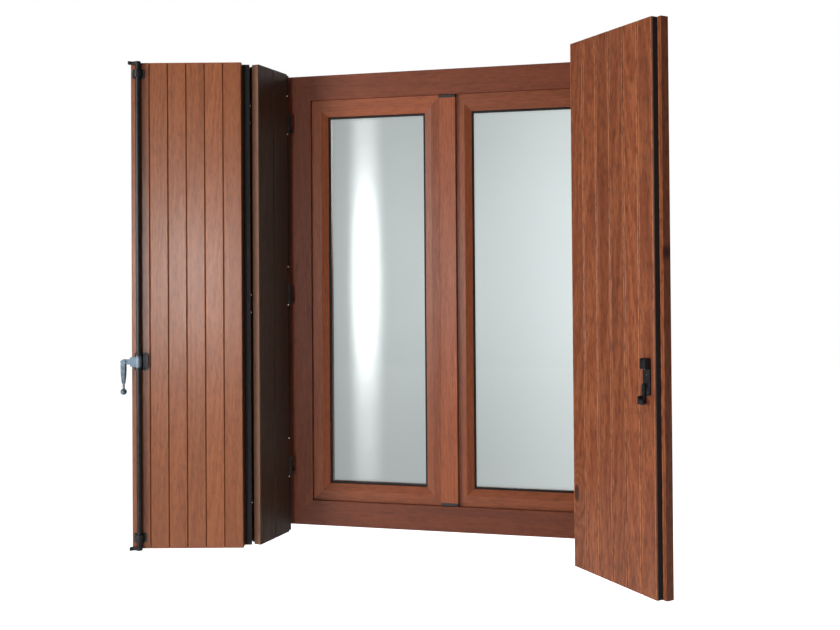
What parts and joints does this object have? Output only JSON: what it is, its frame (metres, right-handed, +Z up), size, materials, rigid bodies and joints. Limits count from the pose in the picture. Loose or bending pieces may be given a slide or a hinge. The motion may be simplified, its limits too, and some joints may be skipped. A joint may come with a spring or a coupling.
{
  "type": "panel shutter",
  "caption": "Folding board shutter on a double-glazed wooden casement window and its frame, with hinged leaf pairs half open, an espagnolette rod with drop lever and a keeper catch",
  "frame": {"origin": "the middle of the underside of the frame's sill", "axes": "+X to the right seen from outdoors, +Y from outdoors into the room, +Z up"},
  "size_m": [1.5249, 0.5869, 1.416],
  "materials": {
    "frame_wood": "stained pine, satin",
    "shutter_wood_left": "stained pine boards, satin",
    "shutter_wood_right": "stained pine boards with knots, satin",
    "glass": "clear float glass",
    "black_rubber": "matt",
    "black_plastic": "matt",
    "spacer_aluminium": "satin",
    "dark_steel": "blue-grey lacquer, semi-gloss",
    "window_fittings": "dark bronze lacquer",
    "black_steel": "black lacquer, semi-gloss"
  },
  "bodies": {
    "frame": {"frame_head": "frame_wood", "frame_sill": "frame_wood", "frame_left_jamb": "frame_wood", "frame_right_jamb": "frame_wood", "shutter_pintles": "black_steel", "sash_hinge_pins": "window_fittings"},
    "left_sash": {"left_sash_top_rail": "frame_wood", "left_sash_bottom_rail": "frame_wood", "left_sash_hinge_stile": "frame_wood", "left_sash_meeting_stile": "frame_wood", "left_panes": "glass", "left_spacer": "spacer_aluminium", "left_glazing_beads": "frame_wood", "left_glazing_gasket": "black_rubber", "left_sash_hinges": "window_fittings", "outer_astragal": "frame_wood", "astragal_caps": "black_plastic"},
    "right_sash": {"right_sash_top_rail": "frame_wood", "right_sash_bottom_rail": "frame_wood", "right_sash_hinge_stile": "frame_wood", "right_sash_meeting_stile": "frame_wood", "right_panes": "glass", "right_spacer": "spacer_aluminium", "right_glazing_beads": "frame_wood", "right_glazing_gasket": "black_rubber", "right_sash_hinges": "window_fittings", "inner_astragal": "frame_wood", "window_handle_rose": "window_fittings"},
    "window_handle": {"window_handle": "window_fittings"},
    "left_narrow": {"left_narrow_board_1": "shutter_wood_left", "left_narrow_board_2": "shutter_wood_left", "left_narrow_hinge_straps": "black_steel", "left_narrow_fold_straps": "black_steel", "left_narrow_fold_seal": "black_rubber"},
    "left_wide": {"left_wide_board_1": "shutter_wood_left", "left_wide_board_2": "shutter_wood_left", "left_wide_board_3": "shutter_wood_left", "left_wide_board_4": "shutter_wood_left", "left_wide_board_5": "shutter_wood_left", "left_wide_board_6": "shutter_wood_left", "left_wide_fold_straps": "black_steel", "rod_guides": "black_steel"},
    "espagnolette": {"espagnolette_rod": "black_steel", "handle_hub": "dark_steel"},
    "handle_lever": {"handle_lever": "dark_steel"},
    "right_narrow": {"right_narrow_board_1": "shutter_wood_right", "right_narrow_board_2": "shutter_wood_right", "right_narrow_hinge_straps": "black_steel", "right_narrow_fold_straps": "black_steel", "right_narrow_fold_seal": "black_rubber"},
    "right_wide": {"right_wide_board_1": "shutter_wood_right", "right_wide_board_2": "shutter_wood_right", "right_wide_board_3": "shutter_wood_right", "right_wide_board_4": "shutter_wood_right", "right_wide_board_5": "shutter_wood_right", "right_wide_board_6": "shutter_wood_right", "right_wide_fold_straps": "black_steel", "keeper_plate": "black_steel", "right_wide_meeting_seal": "black_rubber"},
    "keeper_catch": {"keeper_catch": "black_steel"}
  },
  "joints": [
    {"name": "left_narrow_swing", "type": "hinge", "parent": "frame", "child": "left_narrow", "pos_m": [-0.495, -0.066, 0.7], "axis": [0, 0, -1], "range_deg": [-103, 7]},
    {"name": "left_wide_fold", "type": "hinge", "parent": "left_narrow", "child": "left_wide", "pos_m": [-0.57656, -0.22369, 0.7], "axis": [0, 0, -1], "range_deg": [-64.5, 30.5]},
    {"name": "right_narrow_swing", "type": "hinge", "parent": "frame", "child": "right_narrow", "pos_m": [0.495, -0.066, 0.7], "axis": [0, 0, 1], "range_deg": [-46.5, 63.5]},
    {"name": "right_wide_fold", "type": "hinge", "parent": "right_narrow", "child": "right_wide", "pos_m": [0.40852, -0.22105, 0.7], "axis": [0, 0, 1], "range_deg": [-83.5, 11.5]},
    {"name": "rod_turn", "type": "hinge", "parent": "left_wide", "child": "espagnolette", "pos_m": [-0.85847, -0.34509, 0.7], "axis": [0, 0, 1], "range_deg": [0, 100]},
    {"name": "lever_swing", "type": "hinge", "parent": "espagnolette", "child": "handle_lever", "pos_m": [-0.9004, -0.35694, 0.53], "axis": [-0.2164, 0.9763, 0], "range_deg": [0, 100]},
    {"name": "catch_swing", "type": "hinge", "parent": "right_wide", "child": "keeper_catch", "pos_m": [0.55559, -0.47099, 0.502], "axis": [0.766, 0.6428, 0], "range_deg": [0, 60]},
    {"name": "right_sash_swing", "type": "hinge", "parent": "frame", "child": "right_sash", "pos_m": [0.466, 0.041, 0.7], "axis": [0, 0, -1], "range_deg": [0, 105]},
    {"name": "left_sash_swing", "type": "hinge", "parent": "frame", "child": "left_sash", "pos_m": [-0.466, 0.041, 0.7], "axis": [0, 0, 1], "range_deg": [0, 84]},
    {"name": "window_handle_turn", "type": "hinge", "parent": "right_sash", "child": "window_handle", "pos_m": [0.0425, 0.06, 0.69], "axis": [0, -1, 0], "range_deg": [0, 90]}
  ],
  "couplings": [
    {"joint": "left_sash_swing", "follows": "right_sash_swing", "ratio": 0.8}
  ]
}
